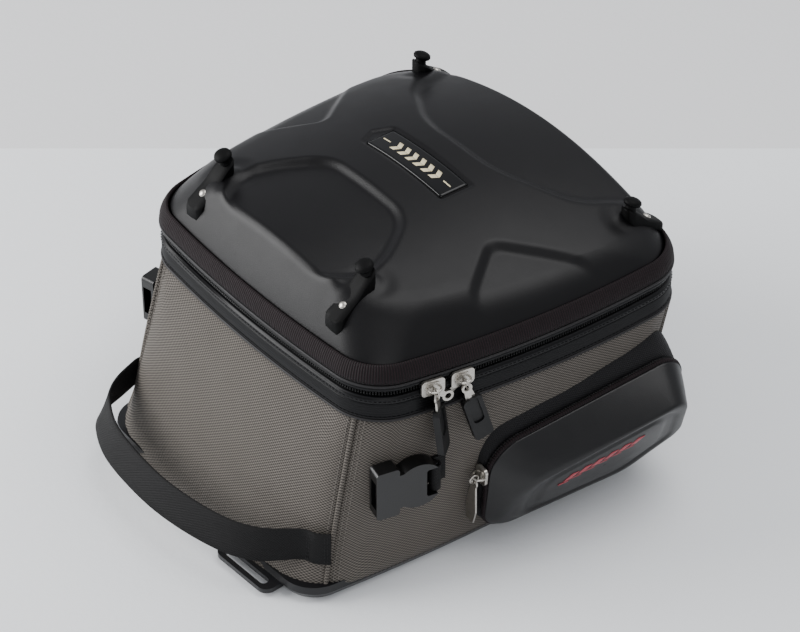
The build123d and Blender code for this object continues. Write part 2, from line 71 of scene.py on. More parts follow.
def circle_through(a, b, c):
    """Centre and radius of the circle through three plan points."""
    rows = 2 * np.array([b - a, c - a])
    centre = np.linalg.solve(rows, [b @ b - a @ a, c @ c - a @ a])
    return centre, np.linalg.norm(a - centre)


def fillet_centre(first, second, radius, corner):
    """Centre of the fillet that touches two bowed sides from inside, near their corner."""
    (p, big_p), (q, big_q) = first, second
    reach_p, reach_q = big_p - radius, big_q - radius
    between = q - p
    gap = np.linalg.norm(between)
    along = (gap ** 2 + reach_p ** 2 - reach_q ** 2) / (2 * gap)
    aside = math.sqrt(reach_p ** 2 - along ** 2)
    turned = np.array([-between[1], between[0]]) / gap
    options = [p + between / gap * along + turned * aside * sign for sign in (1, -1)]
    return min(options, key=lambda point: np.linalg.norm(point - corner))


def arc_points(centre, radius, start, end, steps):
    """Points on an arc from start towards end the short way, without its last point."""
    a = math.atan2(*(start - centre)[::-1])
    b = math.atan2(*(end - centre)[::-1])
    sweep = (b - a + math.pi) % (2 * math.pi) - math.pi
    angles = a + sweep * np.arange(steps) / steps
    return centre + radius * np.stack([np.cos(angles), np.sin(angles)], 1)


def outline(shape, inset=0.0):
    """Plan outline in millimetres, anticlockwise from the left end of the rear side."""
    rear, front = shape["rear_half"] - inset, shape["front_half"] - inset
    low, high = shape["rear_y"] + inset, shape["front_y"] - inset
    rear_bow, side_bow, front_bow = shape["bows"]
    side_x, side_y = (rear + front) / 2 + side_bow, (low + high) / 2
    corners = np.array([(-rear, low), (rear, low), (front, high), (-front, high)], float)
    middles = np.array([(0, low - rear_bow), (side_x, side_y), (0, high + front_bow), (-side_x, side_y)])
    sides = [circle_through(corners[i], middles[i], corners[(i + 1) % 4]) for i in range(4)]
    radius = shape["corner"] - inset / 2
    fillets = [fillet_centre(sides[i - 1], sides[i], radius, corners[i]) for i in range(4)]

    def touch(side, fillet):
        centre, reach = sides[side % 4]
        return centre + unit(fillets[fillet % 4] - centre) * reach

    points = []
    for i in range(4):
        start, end = touch(i, i), touch(i, i + 1)
        points.append(arc_points(*sides[i], start, end, SIDE_STEPS))
        points.append(arc_points(fillets[(i + 1) % 4], radius, end, touch(i + 1, i + 1), CORNER_STEPS))
    return np.concatenate(points)


def normals_of(points):
    """Outward plan normals of a closed anticlockwise outline."""
    ahead = np.roll(points, -1, axis=0) - np.roll(points, 1, axis=0)
    return unit(np.stack([ahead[:, 1], -ahead[:, 0]], 1))


RIM_LINE = outline(RIM)
FLOOR_LINE = outline(FLOOR)
AROUND = len(RIM_LINE)


def closed_line(points):
    """A line that ends where it starts."""
    return np.vstack([points, points[:1]])


def along_outline(points, places):
    """Points of a closed outline at fractional places."""
    return at(np.mod(places, AROUND), np.arange(AROUND + 1), closed_line(points))


def wall_points(places, rise, out):
    """Points on the leaning wall, in metres: place along the outline, height share and distance out."""
    low, high = along_outline(FLOOR_LINE, places), along_outline(RIM_LINE, places)
    facing = along_outline(normals_of(FLOOR_LINE), places)
    plan = low + (high - low) * rise[..., None] + facing * out[..., None]
    height = WALL_LOW + (WALL_HIGH - WALL_LOW) * rise
    return np.concatenate([plan, height[..., None]], -1) * MM


def measured(points):
    """Running length along a line of points."""
    return np.concatenate([[0], np.cumsum(np.linalg.norm(np.diff(points, axis=0), axis=1))])


def at(places, marks, values):
    """Each column of values, which belong to marks, read at the places given."""
    return np.stack([np.interp(places, marks, column) for column in values.T], -1)


def step(value, low, high):
    """A smooth 0 to 1 step between two values."""
    share = np.clip((value - low) / (high - low), 0, 1)
    return share * share * (3 - 2 * share)


def soft_min(a, b, width):
    """The smaller of two values, with a rounded change-over."""
    share = np.clip(0.5 + 0.5 * (b - a) / width, 0, 1)
    return b * (1 - share) + a * share - width * share * (1 - share)


def build_mesh(name, points, faces, corners=None):
    """A smooth-shaded mesh, with a map named weave that holds metres along and across the cloth."""
    mesh = bpy.data.meshes.new(name)
    mesh.from_pydata(np.asarray(points).reshape(-1, 3).tolist(), [], [list(face) for face in faces])
    if corners is not None:
        layer = mesh.uv_layers.new(name="weave")
        layer.data.foreach_set("uv", np.asarray(corners, np.float32).ravel())
    mesh.shade_smooth()
    return mesh


def grid_faces(height, width, closed_u, closed_v):
    """Quads of a grid and the row and column that each starts from."""
    lines = height if closed_v else height - 1
    columns = width if closed_u else width - 1
    r, c = (part.ravel() for part in np.meshgrid(np.arange(lines), np.arange(columns), indexing="ij"))
    r2, c2 = (r + 1) % height, (c + 1) % width
    return np.stack([r * width + c, r * width + c2, r2 * width + c2, r2 * width + c], 1), r, c


def grid_corners(rows, r, c):
    """The weave map's values at each quad's corners."""
    middle = rows[len(rows) // 2]
    along = measured(closed_line(middle))
    strip = np.concatenate([rows, rows[:1]])[:, :: max(1, rows.shape[1] // 8)]
    across = np.concatenate([[0], np.cumsum(np.linalg.norm(np.diff(strip, axis=0), axis=2).mean(1))])
    return np.stack([along[c], across[r], along[c + 1], across[r],
                     along[c + 1], across[r + 1], along[c], across[r + 1]], 1).reshape(-1, 4, 2)


def grid_mesh(name, rows, closed_u=True, closed_v=False):
    """A quad mesh through rows of points."""
    rows = np.asarray(rows, float)
    quads, r, c = grid_faces(rows.shape[0], rows.shape[1], closed_u, closed_v)
    return build_mesh(name, rows, quads, grid_corners(rows, r, c))


def shell_parts(outer, inner):
    """Points, quads and weave map of a closed sheet of cloth between two matching open grids."""
    height, width = outer.shape[:2]
    size = height * width
    front, r, c = grid_faces(height, width, False, False)
    back = front[:, ::-1] + size
    uv = grid_corners(outer, r, c)
    index = np.arange(size).reshape(height, width)
    loop = np.concatenate([index[0, :-1], index[:-1, -1], index[-1, :0:-1], index[:0:-1, 0]])
    after = np.roll(loop, -1)
    edge = np.stack([after, loop, loop + size, after + size], 1)
    flat = np.zeros((len(edge), 4, 2))
    return (np.concatenate([outer.reshape(-1, 3), inner.reshape(-1, 3)]),
            np.concatenate([front, back, edge]), np.concatenate([uv, uv[:, ::-1], flat]))


def merged(parts):
    """Several sets of (points, quads, and maybe weave map) as one set."""
    points, quads, *maps = zip(*parts)
    starts = np.cumsum([0] + [len(some) for some in points[:-1]])
    shifted = [some + start for some, start in zip(quads, starts)]
    return [np.concatenate(found) for found in (points, shifted, *maps)]


def piece(mesh, material, body, *stands_for, slot=None):
    """Put a mesh in the scene on its body, in place of the CAD nodes it stands for."""
    made = bpy.data.objects.new(mesh.name, mesh)
    bpy.context.scene.collection.objects.link(made)
    mesh.materials.append(material)
    if body:
        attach(made, body)
    if stands_for:
        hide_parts(*stands_for)
    return made


def ring(name, rows, *place, slot=None):
    """A piece whose section closes on itself, made from its rows."""
    return piece(grid_mesh(name, rows, closed_v=True), *place, slot=slot)


def zip_gape():
    """How far the zip's lips part, widest at the rear left where the lid is pulled up a little."""
    x, y = RIM_LINE.T
    return 0.5 + 2.2 * np.exp(-(((x + 60) / 55) ** 2 + ((y + 140) / 40) ** 2))


def rim_rows(profile, way=0, shares=None):
    """Rows round the rim from (out, height) pairs; each share of the gape moves a pair in and up or down."""
    facing = normals_of(RIM_LINE)
    rows = []
    for (out, height), share in zip(profile, shares or [0] * len(profile)):
        gape = share * zip_gape()
        rows.append(np.column_stack([RIM_LINE + facing * (out - 0.8 * gape)[:, None], height + way * gape]))
    return np.array(rows) * MM


def round_profile(out, height, radius, steps=8):
    """A cord's section."""
    turns = np.arange(steps) * 2 * math.pi / steps
    return [(out + radius * math.cos(t), height + radius * math.sin(t)) for t in turns]


def beads(name, lines, pitch, length, radius, across=False):
    """Short rounded rods along lines of (points, normals): stitches, or zip teeth when laid across."""
    turns = np.arange(6) * math.pi / 3
    rings = np.array([(-0.5, 0.45), (-0.28, 1.0), (0.28, 1.0), (0.5, 0.45)])
    template = grid_faces(4, 6, True, False)[0]
    parts = []
    for line, facing in lines:
        run = measured(line)
        places = np.arange(0.5 * pitch, run[-1] - 0.2 * pitch, pitch)
        centre = at(places, run, line)
        tangent = unit(at(places + 0.2 * pitch, run, line) - centre)
        normal = unit(at(places, run, facing))
        side = unit(np.cross(tangent, normal))
        axis, other = (side, tangent) if across else (tangent, side)
        body = centre[:, None, None] + axis[:, None, None] * (length * rings[:, 0])[None, :, None, None]
        swing = normal[:, None] * np.cos(turns)[None, :, None] + other[:, None] * np.sin(turns)[None, :, None]
        body = body + swing[:, None] * (radius * rings[:, 1])[None, :, None, None]
        starts = 24 * np.arange(len(places))[:, None, None]
        parts.append((body.reshape(-1, 3), (template[None] + starts).reshape(-1, 4)))
    return build_mesh(name, *merged(parts))


# ---------------- materials
def tone(red, green, blue):
    """A colour from its everyday 0 to 255 values."""
    return tuple((v / 255) ** 2.2 for v in (red, green, blue)) + (1.0,)


class Look:
    """A procedural material with short calls for its colour, roughness and relief."""

    def __init__(self, name, gleam=0.5, mapped=False):
        self.material = bpy.data.materials.new(name)
        self.material.use_nodes = True
        self.tree = self.material.node_tree
        self.shader = self.tree.nodes["Principled BSDF"]
        self.shader.inputs["Specular IOR Level"].default_value = gleam
        if mapped:
            self.place = self.node("ShaderNodeUVMap", uv_map="weave").outputs["UV"]
        else:
            self.place = self.node("ShaderNodeTexCoord").outputs["Object"]
        self.normal = None

    def node(self, kind, **settings):
        made = self.tree.nodes.new(kind)
        for key, value in settings.items():
            setattr(made, key, value)
        return made

    def feed(self, socket, value):
        if isinstance(value, (int, float, tuple)):
            socket.default_value = value
        else:
            self.tree.links.new(value, socket)

    def math(self, operation, a, b=0.0):
        made = self.node("ShaderNodeMath", operation=operation)
        self.feed(made.inputs[0], a)
        self.feed(made.inputs[1], b)
        return made.outputs[0]

    def noise(self, size, detail=3.0, stretch=(1, 1, 1)):
        """Soft noise whose features are about size metres across."""
        mapping = self.node("ShaderNodeMapping")
        mapping.inputs["Scale"].default_value = stretch
        self.feed(mapping.inputs["Vector"], self.place)
        made = self.node("ShaderNodeTexNoise")
        made.inputs["Scale"].default_value = 1 / size
        made.inputs["Detail"].default_value = detail
        self.feed(made.inputs["Vector"], mapping.outputs[0])
        return made.outputs["Fac"]

    def axes(self):
        """The place's separate axes."""
        split = self.node("ShaderNodeSeparateXYZ")
        self.feed(split.inputs[0], self.place)
        return split.outputs

    def wave(self, axis, pitch):
        """A sine from 0 to 1 along one axis, one cycle per pitch."""
        sine = self.math("SINE", self.math("MULTIPLY", self.axes()[axis], 2 * math.pi / pitch))
        return self.math("ADD", self.math("MULTIPLY", sine, 0.5), 0.5)

    def mix(self, share, dark, light):
        made = self.node("ShaderNodeMix", data_type="RGBA")
        self.feed(made.inputs["Factor"], share)
        self.feed(made.inputs[6], dark)
        self.feed(made.inputs[7], light)
        return made.outputs[2]

    def span(self, share, low, high):
        made = self.node("ShaderNodeMapRange")
        self.feed(made.inputs["Value"], share)
        made.inputs["To Min"].default_value = low
        made.inputs["To Max"].default_value = high
        return made.outputs[0]

    def colour(self, value):
        self.feed(self.shader.inputs["Base Color"], value)

    def rough(self, share, low, high):
        self.feed(self.shader.inputs["Roughness"], self.span(share, low, high))

    def relief(self, height, depth, strength=1.0):
        """Add bumps depth metres high."""
        made = self.node("ShaderNodeBump")
        made.inputs["Distance"].default_value = depth
        made.inputs["Strength"].default_value = strength
        self.feed(made.inputs["Height"], height)
        if self.normal:
            self.feed(made.inputs["Normal"], self.normal)
        self.normal = made.outputs[0]
        self.feed(self.shader.inputs["Normal"], self.normal)


def grain_look(name, dark, light, rough, grain=0.0006, depth=0.00008, gleam=0.3):
    """Moulded plastic or rubber: faint colour drift, a fine grain and uneven gloss."""
    look = Look(name, gleam)
    look.colour(look.mix(look.noise(0.03, 4.0), tone(*dark), tone(*light)))
    look.rough(look.noise(0.012, 5.0), *rough)
    look.relief(look.noise(grain, 2.0), depth)
    return look.material


WEAR = 0.86              # how much of a thread's brightness is left where the cloth is worn


def weave_look(name, dark, light, rough, pitch, depth, mapped=True, axes=(0, 1)):
    """Woven cloth: threads over and under each other at a pitch of (along, across) metres."""
    look = Look(name, 0.25, mapped)
    checks = look.math("MULTIPLY", look.math("SUBTRACT", look.wave(axes[0], pitch[0]), 0.5),
                       look.math("SUBTRACT", look.wave(axes[1], pitch[1]), 0.5))
    threads = look.math("ADD", look.math("MULTIPLY", checks, 2.0), 0.5)
    fresh = tone(*light)
    worn = look.mix(look.noise(0.02, 4.0), tuple(WEAR * v for v in fresh[:3]) + (1.0,), fresh)
    look.colour(look.mix(threads, tone(*dark), worn))
    look.rough(threads, rough[1], rough[0])
    look.relief(look.noise(0.004, 3.0), depth * 0.6, 0.5)
    look.relief(threads, depth)
    return look.material


def rib_look(name, dark, light, rough, pitch, depth, axis=0):
    """Ribbed tape: ribs across the tape, one per pitch."""
    look = Look(name, 0.2, mapped=True)
    ribs = look.wave(axis, pitch)
    shown = look.math("MULTIPLY", ribs, look.span(look.noise(0.01, 3.0), 0.6, 1.2))
    look.colour(look.mix(shown, tone(*dark), tone(*light)))
    look.rough(ribs, *rough)
    look.relief(look.noise(0.0015, 3.0), depth * 0.5, 0.6)
    look.relief(ribs, depth)
    return look.material


def metal_look(name):
    """Plated zinc: fine scratches and handling marks."""
    look = Look(name)
    look.shader.inputs["Metallic"].default_value = 1.0
    marks = look.noise(0.004, 6.0, (1, 1, 6))
    look.colour(look.mix(marks, tone(150, 146, 140), tone(214, 210, 202)))
    look.rough(marks, 0.22, 0.42)
    look.relief(look.noise(0.0008, 4.0), 0.00004)
    return look.material


def lid_look():
    """The moulded lid's soft matt skin, with a fine grain and faint rubbed marks."""
    look = Look("lid_skin", 0.24)
    look.colour(look.mix(look.noise(0.05, 5.0), tone(10, 9, 11), tone(15, 14, 16)))
    look.rough(look.noise(0.02, 6.0), 0.34, 0.44)
    look.relief(look.noise(0.0007, 2.0), 0.00007)
    look.relief(look.noise(0.035, 2.0), 0.0004, 0.3)
    return look.material


# Each look: dark and light colour, roughness from and to, and what sets its grain, weave or ribs.
GREY_NYLON = weave_look("grey_nylon_cloth", (27, 25, 24), (116, 110, 103), (0.55, 0.85), (0.0034, 0.0023),
                        0.00045)
BLACK_CLOTH = weave_look("black_pocket_cloth", (6, 6, 7), (26, 25, 28), (0.5, 0.8), (0.0024, 0.0018), 0.0003)
BINDING_TAPE = rib_look("ribbed_binding_tape", (8, 5, 6), (38, 28, 31), (0.6, 0.85), 0.0019, 0.0004)
BAND_RUBBER = rib_look("ridged_band_rubber", (10, 10, 11), (22, 22, 24), (0.32, 0.46), 0.0026, 0.00015, axis=1)
WEBBING_TONES = ((5, 5, 6), (22, 21, 22), (0.6, 0.85), (0.0022, 0.0014), 0.0003)
WEBBING = weave_look("black_webbing", *WEBBING_TONES)
WEB_PIECE = weave_look("black_webbing_piece", *WEBBING_TONES, mapped=False, axes=(1, 2))
LINING = weave_look("lining_cloth", (30, 30, 32), (70, 70, 74), (0.5, 0.7), (0.001, 0.001), 0.0001)
PIPING = grain_look("edge_piping_cord", (26, 25, 26), (44, 43, 44), (0.45, 0.6), 0.0008)
LID_SKIN = lid_look()
POCKET_SKIN = grain_look("pocket_cover_skin", (10, 10, 11), (16, 15, 17), (0.3, 0.42), gleam=0.4)
PLASTIC = grain_look("moulded_black_plastic", (8, 8, 9), (15, 15, 16), (0.25, 0.4), gleam=0.45)
HOOK_PLASTIC = grain_look("hook_plastic", (3, 3, 4), (8, 8, 9), (0.5, 0.65), gleam=0.12)
TRAY_PLASTIC = grain_look("tray_plastic", (16, 16, 18), (26, 26, 28), (0.25, 0.38), gleam=0.4)
RUBBER = grain_look("pull_rubber_sleeve", (8, 8, 9), (16, 16, 17), (0.4, 0.6))
ANTI_SLIP = grain_look("anti_slip_rubber_pad", (24, 24, 25), (40, 40, 42), (0.7, 0.9), 0.002, 0.0005)
BOARD = grain_look("floor_board_fibre", (40, 40, 42), (56, 55, 56), (0.7, 0.9))
COIL = grain_look("zip_coil_nylon", (6, 6, 7), (18, 18, 19), (0.3, 0.45))
THREAD = grain_look("black_thread", (14, 14, 15), (34, 33, 34), (0.6, 0.8), 0.0004)
GREY_THREAD = grain_look("grey_thread", (84, 80, 76), (118, 113, 107), (0.6, 0.8), 0.0004)
GLOSS = grain_look("nameplate_gloss", (9, 9, 10), (16, 16, 17), (0.08, 0.16), 0.004, 0.00002)
CREAM = grain_look("cream_inlay", (196, 184, 150), (218, 207, 174), (0.3, 0.45), 0.001, 0.00003)
RED = grain_look("red_inlay", (150, 62, 70), (176, 84, 92), (0.35, 0.5), 0.001, 0.00003)
METAL = metal_look("plated_zip_metal")
STEEL = metal_look("rivet_steel_look")


def dress(names, material):
    """Give CAD nodes their finish."""
    for name in names:
        for held in nodes[name].material_slots:
            held.material = material


def both(stem):
    """A node's name on the right and on the left."""
    return [f"{stem}_right", f"{stem}_left"]


dress(["base_tray", "rear_strap_tabs", "front_strap_tabs"], TRAY_PLASTIC)
dress(both("buckle"), PLASTIC)
dress(["anti_slip_pad"], ANTI_SLIP)
dress(["floor_board"], BOARD)
dress([f"{end}_{part}" for end in ("rear", "front") for part in ("slider", "pull_ring", "pull_tag")], METAL)
dress([*both("pocket_slider"), *both("pocket_pull_ring"), *both("pocket_pull_tag")], METAL)
dress(["rear_pull_sleeve", "front_pull_sleeve"], RUBBER)
dress(both("buckle_web"), WEB_PIECE)


# ---------------- edge stack round the rim
ring("body_piping_cord", rim_rows(round_profile(0.6, 146.1, 1.15)), PIPING,
     "bag_body", "body_piping", slot="edge_piping")
ridges = [(0.3 + 0.45 * math.sin(0.5 * math.pi * k) ** 2, 147.3 + 0.55 * k) for k in range(24)]
ring("ridged_band", rim_rows(ridges + [(-2.0, 160.1), (-2.0, 147.2)]), BAND_RUBBER,
     "bag_body", "expansion_band", slot="black_band")
lower_profile = [(0.3, 160.2), (0.75, 161.2), (0.75, 163.4), (0.4, 165.2), (-0.6, 166.4), (-2.2, 167.0),
                 (-3.4, 167.0), (-3.4, 160.2)]
lower_rows = rim_rows(lower_profile, -1, (0, 0, 0.2, 0.6, 1, 1, 0.6, 0))
ring("lower_tape", lower_rows, BAND_RUBBER, "bag_body", "lower_zip_tape", slot="black_band")
upper_profile = [(-3.4, 170.0), (-2.2, 170.0), (-0.4, 170.3), (0.7, 171.2), (1.1, 172.8), (0.9, 174.4),
                 (0.3, 175.1), (-3.4, 175.1)]
upper_rows = rim_rows(upper_profile, 1, (0.6, 1, 1, 0.6, 0.2, 0, 0, 0))
ring("upper_tape", upper_rows, BAND_RUBBER, "lid", "upper_zip_tape", slot="black_band")
ring("lid_piping_cord", rim_rows(round_profile(0.7, 176.2, 1.15)), PIPING,
     "lid", "lid_piping", slot="edge_piping")
binding_profile = [(-1.5, 177.5), (0.2, 177.5), (1.0, 178.1), (1.3, 179.6), (1.0, 182.0), (0.0, 185.0),
                   (-1.6, 188.0), (-3.2, 190.4), (-4.3, 191.4), (-5.3, 191.2), (-5.8, 190.2), (-5.6, 188.6),
                   (-3.2, 184.0)]
ring("edge_binding", rim_rows(binding_profile), BINDING_TAPE, "lid", "lid_binding", slot="ribbed_binding")


def rim_path(out, height):
    """A closed line round the rim and its outward normals, for beads to follow."""
    facing = normals_of(RIM_LINE)
    plan = RIM_LINE + facing * out
    line = np.column_stack([plan, np.full(AROUND, height)]) * MM
    flat = np.column_stack([facing, np.zeros(AROUND)])
    return closed_line(line), closed_line(flat)


for name, height, body, coil in (("lower_coil_teeth", 167.6, "bag_body", "lower_zip_coil"),
                                 ("upper_coil_teeth", 169.3, "lid", "upper_zip_coil")):
    teeth = beads(name, [rim_path(-2.0, height)], 0.0021, 0.0016, 0.00062, across=True)
    piece(teeth, COIL, body, coil, slot="zip_coil")
piece(beads("binding_stitching", [rim_path(1.25, 178.9)], 0.0032, 0.0022, 0.00028), THREAD, "lid")
band_lines = [rim_path(0.95, height) for height in (148.9, 162.4)]
piece(beads("band_stitching", band_lines, 0.0034, 0.0024, 0.00028), THREAD, "bag_body")


# ---------------- the moulded lid
def inside(x, y, corners, rounding):
    """How far a point lies inside a convex anticlockwise outline with rounded corners."""
    found = None
    for (ax, ay), (bx, by) in zip(corners, corners[1:] + corners[:1]):
        length = math.hypot(bx - ax, by - ay)
        distance = ((x - bx) * -(by - ay) + (y - by) * (bx - ax)) / length
        found = distance if found is None else soft_min(found, distance, rounding)
    return found


REAR_RECESS = [(-60, -128), (60, -128), (82, -92), (80, -76), (47, -31), (-47, -31), (-80, -76), (-82, -92)]
FRONT_RECESS = [(-40, 45), (40, 45), (98, 79), (122, 150), (-122, 150), (-98, 79)]
SIDE_RECESS = [(92, 0), (126, -46), (180, -46), (180, 62), (142, 62)]
HOOKS = [((84, -127), (84, -98)), ((122, 134), (122, 109))]    # each hook's tail and tip, right-hand side
PLATE = dict(middle=(0, 11), size=(87, 25))


def hook_moat(x, y):
    """The oval dimple round each hook's foot."""
    deepest = 0
    for tail, tip in HOOKS:
        low, high = min(tail[1], tip[1]), max(tail[1], tip[1])
        away = np.hypot(np.abs(x) - tail[0], y - np.clip(y, low - 2, high + 2))
        deepest = np.maximum(deepest, 1.3 * step(away, 5.0, 10.0) * (1 - step(away, 10.0, 22.0)))
    return deepest


def lid_sink(x, y):
    """Depth of everything pressed into the lid's top."""
    depth = 5.2 * step(inside(x, y, REAR_RECESS, 14), 0, 9)
    depth = depth + 4.4 * step(inside(x, y, FRONT_RECESS, 12), 0, 9)
    depth = depth + 4.6 * step(inside(np.abs(x), y, SIDE_RECESS, 10), 0, 8)
    half_x, half_y = PLATE["size"][0] / 2 + 2, PLATE["size"][1] / 2 + 1.5
    away_y = np.abs(y - PLATE["middle"][1])
    tray = soft_min(half_x - x, half_y - away_y, 3)
    tray = soft_min(tray, half_x + 7 + x - 0.5 * away_y, 3)
    return depth + 1.5 * step(tray, -2.5, 1.0) + hook_moat(x, y)


def lid_top(x, y):
    """The crown: arched from side to side and falling away to the front and, a little, to the rear."""
    front = 0.00073 * np.maximum(y - 20, 0) ** 2
    rear = 0.00074 * np.maximum(-60 - y, 0) ** 2
    return CROWN - 0.00134 * x ** 2 - front - rear


LID_SHARES = np.concatenate([np.linspace(0, 1, 34), np.linspace(1, 2, 96)[1:]])
LID_CENTRE = np.array(PLATE["middle"], float)
FLANK_LOW = BINDING_HIGH - 1.5          # where the lid's flank starts, inside its binding
CREASE_WIDTH = 7.0                      # how softly the flank turns into the top


def lid_rows(drop, shares):
    """Rows of the lid from its foot up over the crease to its middle, lowered by drop."""
    foot, crest = outline(RIM, 5.2 + 0.6 * drop), outline(CREST, 0.5 * drop)
    flank_high = lid_top(*crest.T) + 2.6
    rows = []
    for share in shares:
        if share <= 1:
            plan = foot + (crest - foot) * share
            flank = FLANK_LOW + (flank_high - FLANK_LOW) * share ** 0.92
        else:
            plan = crest + (LID_CENTRE - crest) * (0.997 * (share - 1))
            flank = flank_high + 95 * (share - 1)
        x, y = plan.T
        height = soft_min(lid_top(x, y) - lid_sink(x, y), flank, CREASE_WIDTH)
        height = np.maximum(height - drop * np.clip(4 * share, 0, 1), BINDING_HIGH - 4)
        rows.append(np.column_stack([plan, height]))
    return np.array(rows) * MM


lid_outer = lid_rows(0.0, LID_SHARES)
lid_inner = lid_rows(3.4, LID_SHARES[::3])[::-1]
ring("lid_moulding", np.concatenate([lid_outer, lid_inner]), LID_SKIN,
     "lid", "lid_shell", slot="moulded_shell")
lining_rows = np.concatenate([lid_rows(3.9, LID_SHARES[::2]), lid_rows(4.7, LID_SHARES[::4])[::-1]])
ring("lid_lining_cloth", lining_rows, LINING, "lid", "lid_lining", slot="lining_fabric")


# ---------------- bungee hooks
def skin_height(x, y):
    """The lid skin's height at a plan point, in millimetres."""
    flat = lid_outer.reshape(-1, 3) / MM
    near = np.argsort(np.hypot(flat[:, 0] - x, flat[:, 1] - y))[:6]
    return float(flat[near, 2].mean())


KNOB_PROFILE = [(0.2, 4), (5.0, 4), (4.2, 6.5), (4.4, 8.0), (6.4, 8.8), (6.9, 10.2), (6.4, 11.7), (4.6, 12.8),
                (2.2, 13.3), (0.2, 13.4)]
RIVET_PROFILE = [(0.1, -0.5), (3.3, -0.5), (3.3, 0.4), (2.6, 1.3), (1.2, 1.8), (0.1, 1.9)]


def lathe(origin, direction, profile, sides=18):
    """Rows of a turned shape standing on a point: (radius, height) pairs along a direction."""
    axis = unit(np.array(direction, float))
    one = unit(np.cross(axis, (1.0, 0.2, 0.0)))
    two = np.cross(axis, one)
    turns = np.arange(sides) * 2 * math.pi / sides
    circle = np.cos(turns)[:, None] * one + np.sin(turns)[:, None] * two
    return np.array([origin + radius * circle + height * axis for radius, height in profile])


def hook_parts(tail, tip, sign):
    """One hook's grids: a straight foot plate that climbs to a stem with a round knob, and its rivet."""
    ahead = 1 if tip[1] > tail[1] else -1
    ys = np.linspace(tail[1] - 4 * ahead, tip[1] + 3 * ahead, 14)
    skin = np.array([skin_height(tail[0], y) for y in ys])
    straight = np.interp(ys * ahead, [ys[0] * ahead, ys[-1] * ahead], [skin[0], skin[-1]])
    raised = 0.6 * max(0.0, (skin - straight).max())
    bed = straight + raised
    plate = []
    for k, y in enumerate(ys):
        share = k / (len(ys) - 1)
        wide = 8.8 - 1.8 * share - (2.6 if k in (0, 13) else 0)
        thick = 3.4 + 3.2 * step(share, 0.45, 0.8)
        half = [(wide * 0.35, thick + 0.3), (wide - 1.2, thick), (wide, thick - 1.2), (wide, -6)]
        section = [(-a, b) for a, b in half[::-1]] + half
        plate.append([(sign * (tail[0] + a), y, bed[k] + b) for a, b in section])
    top = np.array([sign * tip[0], tip[1], skin_height(*tip) + raised])
    knob = lathe(top, (0, -0.35 * ahead, 1), KNOB_PROFILE)
    seat_y = tail[1] + 7 * ahead
    seat_height = int(np.interp(seat_y * ahead, ys * ahead, bed) + 3.4)     # in whole millimetres
    seat = np.array([sign * tail[0], seat_y, seat_height])
    slope = (bed[6] - bed[1]) / (ys[6] - ys[1])
    return np.array(plate), knob, lathe(seat, (0, -slope, 1), RIVET_PROFILE)


def capped(name, grids):
    """One mesh from several grids, each closed round and capped at its first and last rows."""
    points, faces, corners, shift = [], [], [], 0
    for rows in grids:
        lines, size = rows.shape[:2]
        quads, r, c = grid_faces(lines, size, True, False)
        points.append(rows.reshape(-1, 3) * MM)
        last = shift + (lines - 1) * size
        faces += (quads + shift).tolist()
        faces += [list(range(shift, shift + size))[::-1], list(range(last, last + size))]
        corners += [grid_corners(rows * MM, r, c).reshape(-1, 2), np.zeros((2 * size, 2))]
        shift += lines * size
    mesh = build_mesh(name, np.concatenate(points), faces, np.concatenate(corners))
    made = bmesh.new()
    made.from_mesh(mesh)
    bmesh.ops.recalc_face_normals(made, faces=made.faces)
    made.to_mesh(mesh)
    made.free()
    mesh.set_sharp_from_angle(angle=math.radians(50))
    return mesh


hooks = [hook_parts(*hook, sign) for hook in HOOKS for sign in (1, -1)]
plates, knobs, rivets = zip(*hooks)
piece(capped("hook_mouldings", plates + knobs), HOOK_PLASTIC, "lid", "bungee_hooks", slot="moulded_plastic")
piece(capped("hook_rivet_heads", rivets), STEEL, "lid", "hook_rivets", slot="rivet_steel")


# ---------------- nameplate and generic inlays
def lid_surface(x, y, lift):
    """A point a little above the nameplate's bed."""
    return np.stack([x, y, lid_top(x, y) - 1.5 + lift], -1) * MM


def bar_mesh(name, bars, surface, low, high, steps=(9, 4)):
    """Thin raised bars, each a four-cornered outline laid on a surface."""
    s, t = (v[..., None] for v in np.meshgrid(np.linspace(0, 1, steps[0]), np.linspace(0, 1, steps[1])))
    parts = []
    for bar in bars:
        a, b, c, d = np.array(bar, float)
        flat = (1 - s) * (1 - t) * a + s * (1 - t) * b + s * t * c + (1 - s) * t * d
        parts.append(shell_parts(*(surface(flat[..., 0], flat[..., 1], lift) for lift in (high, low))))
    return build_mesh(name, *merged(parts))


def slanted(x, y, width, height, slant):
    """The corners of one slanted bar."""
    return [(x, y), (x + width, y), (x + width + slant, y + height), (x + slant, y + height)]


plate_x, plate_y = PLATE["size"][0] / 2, PLATE["size"][1] / 2
mid_y = PLATE["middle"][1]
plate = [slanted(-plate_x, mid_y - plate_y, 2 * plate_x, 2 * plate_y, 0)]
piece(bar_mesh("nameplate_tile", plate, lid_surface, -0.8, 0.9, (40, 12)), GLOSS,
      "lid", "nameplate", slot="nameplate_plastic")
plate_marks = [slanted(-26 + 9 * k, mid_y - 5, 4.5, 5, 3) for k in range(6)]
plate_marks += [slanted(-23 + 9 * k, mid_y, 4.5, 5, -3) for k in range(6)]
plate_marks += [slanted(-39, mid_y - 0.5, 8, 1, 0), slanted(31, mid_y - 0.5, 8, 1, 0)]
piece(bar_mesh("nameplate_chevrons", plate_marks, lid_surface, 0.7, 1.1), CREAM, "lid")


# ---------------- padded walls
SEAMS = [((122, -166), (113, -128)), ((128, 120), (146, 127))]   # foot and head of the right-hand seams


def seam_places(foot, head):
    """Where a seam starts and ends, as places along the floor and rim outlines."""
    spots = []
    for line, point in ((FLOOR_LINE, foot), (RIM_LINE, head)):
        spots.append(float(np.argmin(np.linalg.norm(line - np.array(point), axis=1))))
    return spots


